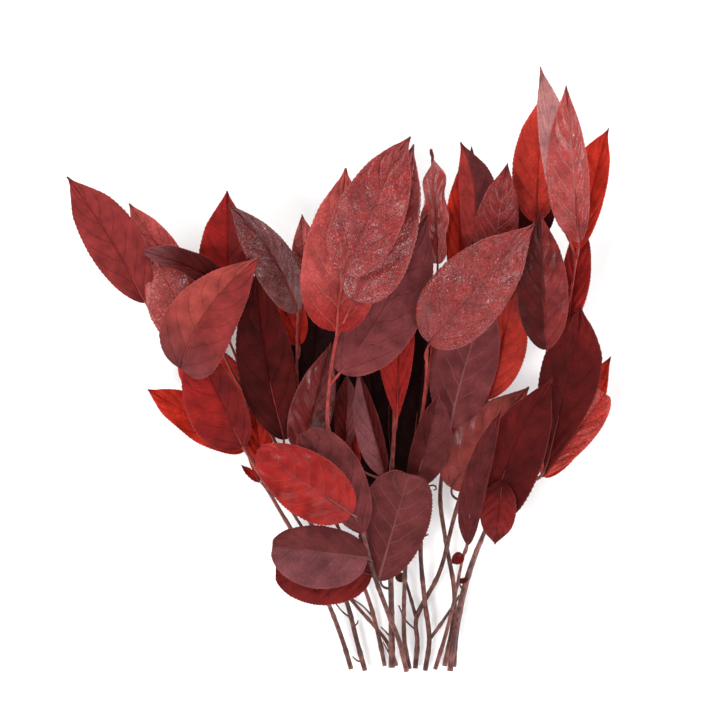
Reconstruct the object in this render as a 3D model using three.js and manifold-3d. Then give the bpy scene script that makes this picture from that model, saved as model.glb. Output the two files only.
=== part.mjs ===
// A bunch of preserved salal, dyed red: thirteen cut woody stems with leathery leaves, laid on its side.
// Millimetres. X runs across the bunch, Y from the cut ends to the highest leaf tips, and Z up from the
// surface that it lies on. The origin is under the middle of the bunch.

import * as THREE from "three";
import Module from "manifold-3d";
import { mergeVertices } from "three/addons/utils/BufferGeometryUtils.js";

const wasm = await Module();
wasm.setup();

// Driving dimensions
const BLADE_THICKNESS = 0.7;
const BLADE_ROWS = 9; // along the midrib
const BLADE_ENDS = [0.012, 0.99]; // where the solid blade starts and stops, as shares of its length
const TOOTH = 0.03; // of the half width, in and out by turns
const EDGE_WAVES = 2.2; // waves along each edge
const GOLDEN = 0.618; // steps the phase of the waves from leaf to leaf
const STEM_SIDES = 5;
const STEM_STEP = 14; // between two rings of a stem
const STALK_SIDES = 3;
const STALK_STEPS = 2;
const STALK_RADIUS = 0.75;
const STALK_IN_BLADE = 0.13; // how far a stalk runs into its blade, as a share of the blade
const MIDDLE = [-0.21, 0.195]; // of the bunch as listed below, moved to the origin
const LEAF_SHAPE = {
  under: false, // the underside looks up
  turn: 0, // rolls the blade about its midrib, in degrees
  fold: 12, // lifts both halves from the midrib, in degrees
  bow: 3, // lifts the middle of the blade
  sweep: 0, // carries the middle of the midrib to the left
  wave: 1.2, // height of the edge's waves
  curl: -3, // lifts the tip, or bends it down where negative
  twist: 0, // turns the tip against the base, in degrees
  full: 0.6, // less makes the base rounder
  sharp: 0.85, // less makes the tip blunter
  drip: 0.45, // draws the tip out
  lag: 6, // how far down the stem from the leaf its stalk leaves
};

const vector = (place) => new THREE.Vector3(...place);
const smooth = (low, high, x) => THREE.MathUtils.smoothstep(x, low, high);

// A leaf goes from its base to its tip. Its halves are the greatest widths left and right of the midrib, seen
// from above by someone who walks from the base to the tip.
function leaf(base, tip, halves, shape = {}) {
  return { base: vector(base), tip: vector(tip), halves, ...LEAF_SHAPE, ...shape };
}

// A stem's woody axis from its cut end, or a twig that forks from it, with its radius at both ends.
function twig(thick, thin, ...places) {
  return { thick, thin, line: new THREE.CatmullRomCurve3(places.map(vector), false, "centripetal") };
}

const stems = {
  left_outer_stem: {
    twigs: [
      twig(1.4, 0.8, [5.5, -150, 15], [1.5, -136.5, 17], [-6, -116.5, 22], [-17.5, -91.5, 30], [-32.5, -65.5, 40],
        [-46.5, -40, 50], [-59, -16.5, 57], [-77.5, 10, 61], [-96, 33.5, 61]),
    ],
    leaves: {
      bud_leaf: leaf([-40, -55, 45], [-49.5, -46.5, 47], [2, 2], { wave: 0, bow: 0.5, curl: 0 }),
      wavy_low: leaf([-47.5, -39, 47], [-97, -8, 46], [10, 11], { turn: 8, bow: 1, wave: 2, full: 0.5, sharp: 0.7 }),
      ribbed: leaf([-48.5, -37.5, 56], [-75, 18.5, 62.5], [18.5, 11], { full: 0.5 }),
      netted: leaf([-67.5, 11, 63], [-94, 60, 63], [16, 13], { fold: 8 }),
      broad_matte: leaf([-79.5, 1.5, 69], [-39, 57, 86], [17.5, 19], { sweep: 6, full: 0.35 }),
      outer_matte: leaf([-97, 34.5, 62], [-137, 98.5, 66], [13, 15], { sweep: -2, full: 0.7, drip: 0.55 }),
    },
  },
  left_middle_stem: {
    twigs: [
      twig(1.5, 0.8, [12.5, -151, 10], [8.5, -136.5, 12], [3, -115.5, 16], [-10, -86.5, 26], [-22.5, -59, 36],
        [-36, -28, 45], [-53, -1.5, 50], [-64, 23.5, 52], [-68.5, 34.5, 51]),
    ],
    leaves: {
      long_dark: leaf([-27.5, -34, 46], [-41.5, 52, 60], [15, 14], { sweep: 3, fold: 8 }),
      rolled: leaf([-51, 40, 63], [-97, 61, 72.8], [6, 8], { turn: 22, fold: 20, sharp: 0.5, drip: 0.2 }),
      bright_upright: leaf([-55, 23.5, 50], [-56.5, 91.5, 55], [15.5, 13]),
      bright_left: leaf([-75, 38.5, 50], [-106, 85, 52], [10, 9], { fold: 8 }),
    },
  },
  left_inner_stem: {
    twigs: [
      twig(1.3, 0.7, [22.5, -149, 4.6], [20, -136.5, 5.4], [14.5, -115.5, 10.7], [2.5, -86.5, 22], [-12, -51.5, 34],
        [-20, -24, 42], [-21.5, 16, 50], [-21, 30, 57]),
    ],
    leaves: {
      creased: leaf([-19, -40, 42], [-4.5, 14.5, 60], [12.5, 11], { fold: 24, wave: 2, full: 0.5 }),
      bright_between: leaf([-20, 13.5, 44], [-39, 55, 46], [10, 10]),
      half_hidden: leaf([-18.5, 36, 54], [-19, 79, 60], [6, 11], { full: 0.5 }),
      top_dark: leaf([-21, 30, 60], [-55.5, 83.5, 78], [13, 10], { fold: 20, sweep: -4.5 }),
    },
  },
  left_under_stem: {
    twigs: [
      twig(1.1, 0.7, [28.5, -149, 0.95], [24, -137.5, 2.5], [5, -114.5, 7], [-14, -86.5, 13], [-30, -61.5, 20],
        [-42.5, -41.5, 25], [-47, -16.5, 29], [-50, 1, 31], [-57.5, 21, 31], [-60, 38, 29]),
    ],
    leaves: {
      inner_bright: leaf([-38, -55, 25], [-44, -11.5, 34], [7, 7]),
      resting_low: leaf([-47.5, -15, 27], [-84.5, 10, -8], [12, 15], { curl: 0 }),
      resting_left: leaf([-57, 20, 28], [-80, 62, -8], [14, 15], { curl: 0 }),
      resting_top: leaf([-60, 40, 28], [-48, 78, 8], [12, 13]),
    },
  },
  centre_front_stem: {
    twigs: [
      twig(1.5, 0.9, [33.5, -151, 20], [30, -136.5, 23.4], [24, -121, 28.4], [15.5, -97, 38], [11, -78, 46],
        [5, -62, 53], [-2, -37, 63], [-6, -26.5, 67], [-4, 3.5, 75], [-0.5, 23.5, 81]),
    ],
    leaves: {
      low_underside: leaf([14, -93, 44], [-35, -87, 52], [18.5, 13],
        { under: true, full: 0.45, sharp: 0.5, drip: 0, fold: 4 }),
      low_red: leaf([16, -101, 35], [-33, -100, 37], [16.5, 10], { full: 0.5, sharp: 0.5, drip: 0, fold: 6 }),
      arched_underside: leaf([11.5, -80.5, 50], [-19, -28, 72], [11, 15.5],
        { under: true, sweep: -1, sharp: 0.5, drip: 0, bow: -1, fold: 5 }),
      dark_centre: leaf([3, -38, 53], [3.6, 0, 45], [6.5, 6]),
      glossy_low: leaf([6, -71, 58], [-40.5, -38.5, 80], [16.5, 16], { full: 0.55, sharp: 0.6, drip: 0 }),
      mauve_underside: leaf([0, -0.5, 75], [44, 80, 73.4], [15, 19.5], { under: true, fold: 6, sweep: -4, full: 0.5 }),
      bright_back: leaf([-1.5, 20, 82], [3, 102.5, 82], [19.5, 18], { fold: 6, full: 0.42 }),
      front_under: leaf([7, 35.5, 87], [37, 114, 88], [13, 19], { fold: 5, full: 0.4 }),
      front_big: leaf([1.5, 48, 92], [33.5, 118, 98], [17, 17], { fold: 6, full: 0.5 }),
    },
  },
  centre_back_stem: {
    twigs: [
      twig(1.9, 0.8, [26, -149, 18.5], [26, -134, 21.4], [25.5, -105, 26.5], [24.5, -69, 33], [27, -31.5, 43],
        [27, 1, 50], [26, 22, 54]),
    ],
    leaves: {
      lowest_underside: leaf([19, -105, 30], [35, -49, 56], [18, 17],
        { under: true, sharp: 0.4, drip: 0, fold: 8, full: 0.5 }),
      shrivelled_low: leaf([9, -49, 40], [3, -19, 44], [3.5, 3.5], { wave: 2, fold: 36 }),
      half_turned: leaf([22.5, -52, 46], [9, 1, 64], [9.5, 4.5], { fold: 18 }),
      pointed_down: leaf([28.5, -25, 48], [30, 51, 62], [11, 8]),
    },
  },
  centre_right_stem: {
    twigs: [
      twig(1.4, 0.8, [35, -150, 12], [32.5, -136.5, 14], [32.5, -106.5, 20], [35, -71.5, 29], [38.5, -39, 39],
        [42.5, -9, 52], [43.5, 11, 62]),
      twig(0.9, 0.7, [40.5, -24, 45], [45, 2, 44], [47, 25, 45], [48.5, 48, 48]),
    ],
    leaves: {
      upright_underside: leaf([36, -60, 38], [49, -9, 62], [7.5, 12], { under: true, sweep: -1.5 }),
      dark_behind: leaf([48, 13.5, 45], [53.5, 55, 48], [10, 8]),
      shrivelled_top: leaf([49, 54, 51], [45.5, 112, 58], [5, 4], { wave: 2.5, twist: 160 }),
      front_netted: leaf([44, 14.5, 66], [96.5, 73.5, 90], [21, 17.5], { full: 0.5 }),
    },
  },
  right_inner_stem: {
    twigs: [
      twig(1.5, 0.8, [38, -150, 6], [39, -136.5, 8], [38.5, -125, 9], [50, -101.5, 15.2], [57, -75, 21.5],
        [63, -53, 29], [70, -26.5, 37], [76, 1, 43], [79, 30, 48], [77, 48, 51]),
      twig(1.1, 0.8, [38.5, -125, 9], [35.5, -114, 10], [32.5, -104, 12]),
    ],
    leaves: {
      dry_scrap: leaf([32.5, -105, 12], [27.5, -102, 13], [2.5, 2.5], { wave: 0, bow: 0, curl: 0 }),
      folded_red: leaf([55, -58, 30], [95, -7, 42], [17, 14], { full: 0.5 }),
      bright_strip: leaf([74, -14, 40], [87.5, 41, 48], [7, 13], { full: 0.75 }),
      veined_top: leaf([76, 57, 53], [83.5, 104, 66], [12, 10.5], { full: 0.4 }),
    },
  },
  right_middle_stem: {
    twigs: [
      twig(1.5, 0.8, [43, -151, 9], [45, -135.5, 11], [42.5, -114, 15], [40.5, -86.5, 23], [43.5, -56.5, 31],
        [48.5, -29, 38], [56, -1.5, 43], [61, 31, 47], [64, 50, 52]),
      twig(1.1, 0.7, [45, -135.5, 11], [50.5, -128, 12], [60.3, -113, 15.4]),
    ],
    leaves: {
      broad_mauve: leaf([55, -28, 46], [75, 41, 66], [16.5, 16], { under: true, sweep: 1.5, fold: 6 }),
      bright_edge: leaf([61, 41, 48], [59.5, 103.5, 50], [8, 7.5]),
      mauve_top: leaf([65, 61, 56.5], [59.5, 115.5, 63], [8, 12], { under: true, sweep: -5 }),
      far_tip: leaf([64, 56, 42], [66, 114, 42], [6, 8]),
    },
  },
  right_low_stem: {
    twigs: [
      twig(1.3, 0.7, [48, -150, 14], [53.5, -131.5, 20], [57.5, -114, 28], [61.5, -94, 38], [66, -78, 43]),
    ],
    leaves: {
      round_bud_leaf: leaf([61, -91, 41], [56, -96, 42], [3, 3], { wave: 0, bow: 0.5, curl: 0 }),
      narrow_mauve: leaf([64, -86.5, 47], [81.5, -15, 78], [7, 6], { under: true, sweep: 4, bow: -9 }),
    },
  },
  right_under_stem: {
    twigs: [
      twig(1.5, 0.8, [53, -149, 1.3], [57.5, -124, 5.5], [57.5, -109, 9.5], [53.5, -86.5, 15.3], [50.5, -60, 18.5],
        [57.5, -26.5, 24], [71, 11, 29], [85, 51, 35], [92, 66, 38]),
    ],
    leaves: {
      resting_centre: leaf([53.5, -41.5, 19], [42, 11, -8], [14, 14], { curl: 0 }),
      resting_right: leaf([65, -8, 24], [56, 47, -8], [15, 15], { curl: 0 }),
      under_top: leaf([78, 31, 31], [90, 73.5, 4], [13, 13]),
      dark_shadow: leaf([95, 63.5, 36], [103, 107, 37], [10, 10]),
      bright_right: leaf([98, 75, 46], [101, 139, 60], [13.5, 11]),
    },
  },
  right_outer_stem: {
    twigs: [
      twig(1.8, 0.9, [55.5, -151, 14.2], [57.5, -134, 16.5], [63, -106.5, 24], [70.5, -85, 36], [80, -66, 42],
        [94, -52, 43], [104, -38, 45]),
    ],
    leaves: {
      hanging_red: leaf([81, -54, 57], [77.5, -87.5, 48.5], [8.5, 9.5], { fold: 4, bow: 4, lag: -8 }),
      maroon_broad: leaf([76, -75, 47], [106, -3, 70], [14.5, 16.5], { fold: 5, sweep: 4.5 }),
      bright_lobe: leaf([101, -53, 38.5], [133, -10, 43], [14, 9.5], { full: 0.8, sharp: 0.45, drip: 0 }),
      bright_outer: leaf([102.5, -53, 34], [136.5, 8.5, 36], [13, 10]),
      deep_red: leaf([102.5, -51.5, 47], [122, 34, 55.5], [15.5, 16], { fold: 3 }),
    },
  },
  right_tall_stem: {
    twigs: [
      twig(1.5, 0.8, [57.5, -149, 11], [58.5, -134, 13], [64.5, -104, 19], [74, -77.5, 26], [87, -49, 32],
        [100, -15, 39], [108.5, 13.5, 46], [115.5, 41, 53], [118.5, 62, 60]),
    ],
    leaves: {
      dark_sheen: leaf([103.5, 11, 57], [99.5, 80, 74], [13.5, 12.5]),
      side_dark: leaf([114, 23.5, 47.5], [121.5, 78.5, 50], [7, 8], { wave: 1.8 }),
      side_bright: leaf([118.5, 61, 56], [133.5, 123, 57], [14, 7], { sharp: 0.55, drip: 0.3 }),
      pale_tall: leaf([111, 77, 66], [99, 153, 80], [6, 10], { under: true }),
      glossy_tall: leaf([119, 64.5, 68], [112, 142.5, 88], [14, 7.5]),
    },
  },
};

// How wide the blade is at u of its length, as a share of its widest.
function outline(l, u) {
  const oval = (x) => Math.pow(x, l.full) * Math.pow(1 - x, l.sharp);
  return (oval(u) / oval(l.full / (l.full + l.sharp))) * (1 - l.drip * smooth(0.72, 1, u));
}

// The blade's middle surface as a function of u, from base to tip, and v, from the right edge to the left.
function bladeSurface(l, phase) {
  const along = l.tip.clone().sub(l.base);
  const length = along.length();
  const x = along.normalize();
  const z = new THREE.Vector3(0, 0, 1).addScaledVector(x, -x.z).normalize();
  z.applyAxisAngle(x, THREE.MathUtils.degToRad(l.turn));
  const y = z.clone().cross(x);
  const fold = THREE.MathUtils.degToRad(l.fold);
  const twist = THREE.MathUtils.degToRad(l.twist);
  const sense = l.under ? -1 : 1;
  return (u, v) => {
    const share = outline(l, u);
    const side = Math.sign(v);
    const half = l.halves[side > 0 ? 0 : 1] * share * Math.abs(v);
    const ripple = Math.sin(2 * Math.PI * (EDGE_WAVES * u + phase) + 1.7 * side);
    const out = side * half * Math.cos(fold);
    const lift = sense * half * Math.sin(fold) + l.wave * ripple * share * v * v;
    const turn = twist * (u - 0.4);
    const middle = 4 * u * (1 - u);
    const arch = sense * (l.bow * middle + l.curl * Math.pow(smooth(0.45, 1, u), 2));
    return l.base
      .clone()
      .addScaledVector(x, length * u)
      .addScaledVector(y, out * Math.cos(turn) - lift * Math.sin(turn) + l.sweep * middle)
      .addScaledVector(z, out * Math.sin(turn) + lift * Math.cos(turn) + arch);
  };
}

// The surface's normal, from four points close round the place.
function surfaceNormal(surface, u, v) {
  const step = 0.01;
  const alongU = surface(Math.min(u + step, 1), v).sub(surface(Math.max(u - step, 0), v));
  const alongV = surface(u, v + step).sub(surface(u, v - step));
  return alongU.cross(alongV).normalize();
}

function solidFrom(geometry) {
  const bare = geometry.clone().deleteAttribute("normal").deleteAttribute("uv");
  const merged = mergeVertices(bare, 1e-4);
  return new wasm.Manifold(
    new wasm.Mesh({
      numProp: 3,
      vertProperties: merged.attributes.position.array,
      triVerts: new Uint32Array(merged.index.array),
    }),
  );
}

// A leathery blade, creased along its midrib, with toothed and waved edges. What would go through the surface
// that the bunch lies on is pressed flat on it. Both faces are split the same way, so that it can't cross itself.
function bladeSolid(l, phase) {
  const surface = bladeSurface(l, phase);
  const [start, stop] = BLADE_ENDS;
  const corners = [];
  for (const face of [1, 0])
    for (let row = 0; row <= BLADE_ROWS; row++)
      for (const edge of [-1, 0, 1]) {
        const u = start + ((stop - start) * row) / BLADE_ROWS;
        const v = edge * (1 + TOOTH * (row % 2 ? 1 : -1));
        const normal = surfaceNormal(surface, u, v);
        const place = surface(u, v).addScaledVector(normal, (face - 0.5) * BLADE_THICKNESS);
        const floor = normal.z > 0 === (face === 1) ? BLADE_THICKNESS : 0;
        corners.push(place.x, place.y, Math.max(place.z, floor));
      }
  const under = 3 * (BLADE_ROWS + 1);
  const triangles = [];
  const wall = (a, b) => triangles.push(a, b, b + under, a, b + under, a + under);
  for (let row = 0; row < BLADE_ROWS; row++) {
    const [a, b] = [3 * row, 3 * row + 3];
    for (const [p, q, r] of [[a, b, a + 1], [a + 1, b, b + 1], [a + 1, b + 1, b + 2], [a + 1, b + 2, a + 2]])
      triangles.push(p, q, r, p + under, r + under, q + under);
    wall(b, a);
    wall(a + 2, b + 2);
  }
  const last = 3 * BLADE_ROWS;
  for (const k of [0, 1]) {
    wall(k, k + 1);
    wall(last + k + 1, last + k);
  }
  const geometry = new THREE.BufferGeometry();
  geometry.setAttribute("position", new THREE.BufferAttribute(new Float32Array(corners), 3));
  geometry.setIndex(triangles);
  return solidFrom(geometry);
}

// A round bar that follows a line and thins from its first end to its last.
function taperedBar(line, thick, thin, sides, steps) {
  const frames = line.computeFrenetFrames(steps, false);
  const bar = new THREE.CylinderGeometry(1, 1, 1, sides, steps);
  const places = bar.attributes.position;
  for (let i = 0; i < places.count; i++) {
    const share = places.getY(i) + 0.5;
    const ring = Math.round(share * steps);
    const radius = thick + (thin - thick) * share;
    const place = line
      .getPointAt(share)
      .addScaledVector(frames.normals[ring], places.getX(i) * radius)
      .addScaledVector(frames.binormals[ring], -places.getZ(i) * radius);
    places.setXYZ(i, place.x, place.y, Math.max(place.z, 0));
  }
  return solidFrom(bar);
}

// The stalk leaves the nearest twig a little below the leaf and runs into the blade along its midrib.
function stalkSolid(l, phase, twigs) {
  const samples = 60;
  let best = { gap: Infinity };
  for (const { line } of twigs)
    for (let i = 0; i <= samples; i++) {
      const gap = line.getPointAt(i / samples).distanceTo(l.base);
      if (gap < best.gap) best = { gap, line, share: i / samples };
    }
  const lag = l.lag / best.line.getLength();
  const root = best.line.getPointAt(Math.max(0, best.share - lag));
  const surface = bladeSurface(l, phase);
  const [foot, end] = [surface(0, 0), surface(STALK_IN_BLADE, 0)];
  const line = new THREE.QuadraticBezierCurve3(root, foot.clone().lerp(end, -0.6), end);
  return taperedBar(line, STALK_RADIUS, STALK_RADIUS * 0.8, STALK_SIDES, STALK_STEPS);
}

function leafyStem({ twigs, leaves }) {
  const bars = twigs.map(({ line, thick, thin }) =>
    taperedBar(line, thick, thin, STEM_SIDES, Math.ceil(line.getLength() / STEM_STEP)),
  );
  const blades = Object.values(leaves).flatMap((l, i) => {
    const phase = (i * GOLDEN) % 1;
    return [bladeSolid(l, phase), stalkSolid(l, phase, twigs)];
  });
  return [...bars, ...blades].reduce((whole, piece) => whole.add(piece));
}

function geometryOf(solid) {
  const mesh = solid.getMesh();
  const geometry = new THREE.BufferGeometry();
  geometry.setAttribute("position", new THREE.BufferAttribute(mesh.vertProperties, mesh.numProp));
  geometry.setIndex(new THREE.BufferAttribute(mesh.triVerts, 1));
  geometry.computeVertexNormals();
  return geometry;
}

const dyedSalal = () => new THREE.MeshStandardMaterial({ color: 0x7a1c1e, roughness: 0.5, metalness: 0 });

const bunch = new THREE.Group();
bunch.position.set(-MIDDLE[0], -MIDDLE[1], 0);
for (const [name, stem] of Object.entries(stems)) {
  const mesh = new THREE.Mesh(geometryOf(leafyStem(stem)), dyedSalal());
  mesh.name = name;
  bunch.add(mesh);
}

export default bunch;
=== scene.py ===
"""A bunch of preserved salal, dyed red, that lies on a pale table and is seen from straight above.

Lengths in the tables are millimetres, in the same frame as the CAD before its middle was moved to the origin.
"""

import ast
import math
import textwrap

import bpy
import numpy as np
from mathutils import Matrix, Vector


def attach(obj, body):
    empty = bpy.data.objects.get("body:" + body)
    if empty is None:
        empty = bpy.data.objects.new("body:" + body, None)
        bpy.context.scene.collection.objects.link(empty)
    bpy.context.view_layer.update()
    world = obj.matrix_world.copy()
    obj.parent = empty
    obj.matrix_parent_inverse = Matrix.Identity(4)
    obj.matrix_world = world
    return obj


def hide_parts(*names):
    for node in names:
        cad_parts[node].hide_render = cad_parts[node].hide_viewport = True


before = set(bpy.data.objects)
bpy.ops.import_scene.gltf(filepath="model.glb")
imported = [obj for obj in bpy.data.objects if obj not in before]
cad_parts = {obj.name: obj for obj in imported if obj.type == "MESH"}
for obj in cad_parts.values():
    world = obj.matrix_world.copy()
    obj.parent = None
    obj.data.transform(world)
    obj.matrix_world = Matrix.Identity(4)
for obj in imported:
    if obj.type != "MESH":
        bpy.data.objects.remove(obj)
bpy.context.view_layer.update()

MM = 0.001
MIDDLE = Vector((-0.21, 0.195, 0))  # of the bunch as listed, moved to the origin
GOLDEN = 0.618  # steps the phase of the waves from leaf to leaf

# The camera looks straight down from far away, as the photograph does.
CAMERA_PLACE = (0.01021, 0.005805, 3.55)
CAMERA_LENS = 350
CAMERA_SENSOR = 36
CAMERA_FAR = 20

TABLE_REACH = 3.0
TABLE_LEVEL = -0.2 * MM  # just under the lowest leaves, so that it doesn't show through them

# Soft boxes: place, width and power in watts
LAMPS = {
    "key": ((-0.9, 0.9, 1.3), 0.6, 14),
    "side": ((1.3, 0.3, 1.1), 0.6, 10.5),
    "front left": ((-0.36, -0.4, 1.5), 0.33, 11),
    "front right": ((0.3, -0.45, 1.5), 0.33, 3),
}
LAMP_AIM = Vector((0, 0, 0.03))
STUDIO = {"walls": 3.6, "fall": 3.5}  # light of the pale walls, and how much less the ceiling gives

BLADE = {
    "Thickness": 0.4 * MM,
    "Rows": 92,
    "Columns": 25,
    "Teeth": 30,
    "Tooth Depth": 0.035,
    "Quilting": 1.2 * MM,
    "Crumple": 2.2 * MM,
    "Midrib Depth": 0.35 * MM,
}
# Numbers that the blade's formulas know by name. Its rows run from 0.003 to 0.984 of its length, so that
# neither end is a bare point.
BLADE_RULE = {
    "span": 0.981,
    "midway": 0.4935,
    "waves": 2.2,  # along each edge
    "rib_width": 0.9 * MM,
    "tau": math.tau,
    "mm": MM,
}
CRUMPLE_SIZE = 11  # millimetres from one dent of the blade to the next
VEINS = {
    "pairs": 6.5,  # side veins along one half of a blade
    "lean": 0.2,  # how far a side vein runs forward on its way out, as a share of the length
    "arch": 0.12,  # and how far it bends forward near the edge
    "stagger": 0.012,  # half the step between the side veins left and right of the midrib
}

TWIG = {"Knot Spacing": 19 * MM, "Knot Height": 0.18 * MM, "Bud Length": 1.5 * MM, "Sides": 10,
        "Unevenness": 0.25}
BARE = {"Knot Spacing": 1.0, "Knot Height": 0.0, "Bud Length": 0.0, "Sides": 8}
OFFSHOOT = {**BARE, "Thick": 0.5 * MM, "Thin": 0.35 * MM, "Unevenness": 0.3}
STALK = {**BARE, "Thick": 0.75 * MM, "Thin": 0.15 * MM, "Unevenness": 0.2}
TWIG_SHARE = 0.86  # of the listed radius, which a twig comes near at its knots
WOOD_STEP = 1.4 * MM  # between two rings of a twig
WOOD_LUMPS = 160.0  # of uneven thickness to the metre, so one is about 6 mm long
BUD_LEAN = (0.6, 0.0, 0.0)  # turn of a bud away from its twig
BUD_OUT = (0.0, -1.1 * MM, 0.2 * MM)
STALK_IN_BLADE = 0.13  # share of the blade after which its stalk lies in the midrib
STALK_ALONG = (0.17, 0.22, 0.28, 0.35)  # and the shares by which it goes on there
STALK_BEND = -0.6  # its bend lies behind the blade, by this share of the way into it

# sRGB colours of the dye as it took on different leaves; some also hold painted light, as marked
DYES = {
    # flame and scarlet are brighter than the dye alone: partly dye, partly a painted glow of light through
    # the thin leaves
    "flame": "#bf382e",
    "scarlet": "#ac2518",
    "red": "#8a1c19",
    "clear_red": "#8f2422",
    "russet": "#8f3a34",
    "brick": "#7a2928",
    "rose": "#9e3633",
    "coral": "#b44c48",
    "wine": "#6a1918",
    "oxblood": "#4e0e0d",
    "maroon": "#440d0c",
    # Not a dye: painted shade, the near black of the deep shade between the leaves, for the dark sheets laid
    # there
    "painted_shade": "#1c0506",
    "mauve": "#632c2d",
    "light_mauve": "#6e3234",
    "ash_mauve": "#6c3a3d",
    "dusky": "#511d1e",
    "pale_rose": "#b47876",
    "dry": "#5a3428",
}
DARK_VEIN = "#2c0a0c"
PALE_VEIN = "#c4807a"
PALE_VEIN_BELOW = "#9a6664"
LEAF_RIM = "#b8625a"
BARK = {"old_dark": "#3f201e", "old_pale": "#7a4a42", "young_dark": "#6e1613", "young_pale": "#96332c"}
CUT_WOOD = ("#8a5a4c", "#c9a58f")
TABLE_PAINT = ("#fafafa", "#fdfdfd")

# Patterns of the leaf, by how many there are to the millimetre, and their detail. The dye drifts over 11 mm
# and mottles over 7 mm, as it soaked in unevenly, and the skin has a grain of 0.7 mm.
LEAF_NOISES = {"drift": (0.09, 2.0), "mottle": (0.14, 5.0), "grain": (1.5, 3.0)}
# The cells of the real net are about 1.5 mm across. They are drawn 2.3 mm wide, with a net of 1.1 mm inside
# them, as finer ones would not show in the render.
NET_CELLS = {"wide": ("DISTANCE_TO_EDGE", 2.3), "fine": ("DISTANCE_TO_EDGE", 1.1), "domes": ("F1", 1.1)}

LEAF_SHAPE = {
    "under": False,  # the underside looks up
    "turn": 0,  # rolls the blade about its midrib, in degrees
    "fold": 12,  # lifts both halves from the midrib, in degrees
    "bow": 3,  # lifts the middle of the blade
    "sweep": 0,  # carries the middle of the midrib to the left
    "wave": 1.2,  # height of the edge's waves
    "curl": -3,  # lifts the tip, or bends it down where negative
    "twist": 0,  # turns the tip against the base, in degrees
    "full": 0.6,  # less makes the base rounder
    "sharp": 0.85,  # less makes the tip blunter
    "drip": 0.45,  # draws the tip out
    "lag": 6,  # how far down the stem from the leaf its stalk leaves
    "hook": 0,  # carries the tip to the left
}


def look(left, right=None, tip=None, base=None, gloss=0.35, net=0.4, vein=0.0, glow=0.12):
    """How one leaf is finished: its colour left and right of the midrib, and its gloss, net, veins and glow.
    """
    return {
        "left": left, "right": right or left, "tip": tip, "base": base,
        "gloss": gloss, "net": net, "vein": vein, "glow": glow,
    }


def leaf(base, tip, halves, finish, **shape):
    """A leaf from its base to its tip, with its widest left and right of the midrib and its shape words."""
    placed = {"base": Vector(base), "tip": Vector(tip), "halves": halves, "finish": finish}
    return {**placed, **LEAF_SHAPE, **shape}


def twig(thick, thin, *places):
    """A woody axis from its thick end to its thin end, with the radius at each."""
    return {"thick": thick, "thin": thin, "line": smooth_line(places)}


def offshoot(*places, rise=2):
    """A thin side twig in plan, from its stem outwards, and how far it rises."""
    return {"places": places, "rise": rise}


def stem(twigs, offshoots=(), **leaves):
    """A leafy stem: its woody axes, its thin side twigs and its leaves by name."""
    return {"twigs": twigs, "offshoots": offshoots, "leaves": leaves}


def smooth_line(places, samples=24):
    """A centripetal Catmull-Rom curve through the places, as a dense row of points."""
    points = np.array(places, dtype=float)
    points = np.vstack([2 * points[0] - points[1], points, 2 * points[-1] - points[-2]])
    row = []
    for a, b, c, d in zip(points, points[1:], points[2:], points[3:]):
        first, mid, last = (max(np.linalg.norm(q - p), 1e-4) ** 0.5 for p, q in ((a, b), (b, c), (c, d)))
        leave = ((b - a) / first - (c - a) / (first + mid) + (c - b) / mid) * mid
        arrive = ((c - b) / mid - (d - b) / (mid + last) + (d - c) / last) * mid
        for t in np.linspace(0, 1, samples, endpoint=False):
            row.append(b + leave * t + (3 * (c - b) - 2 * leave - arrive) * t**2
                       + (2 * (b - c) + leave + arrive) * t**3)
    row.append(points[-2])
    return np.array(row)


def point_at(line, share):
    """The point at a share of a line's length, and that length."""
    lengths = np.concatenate([[0], np.cumsum(np.linalg.norm(np.diff(line, axis=0), axis=1))])
    return np.array([np.interp(share * lengths[-1], lengths, line[:, k]) for k in range(3)]), lengths[-1]


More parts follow.
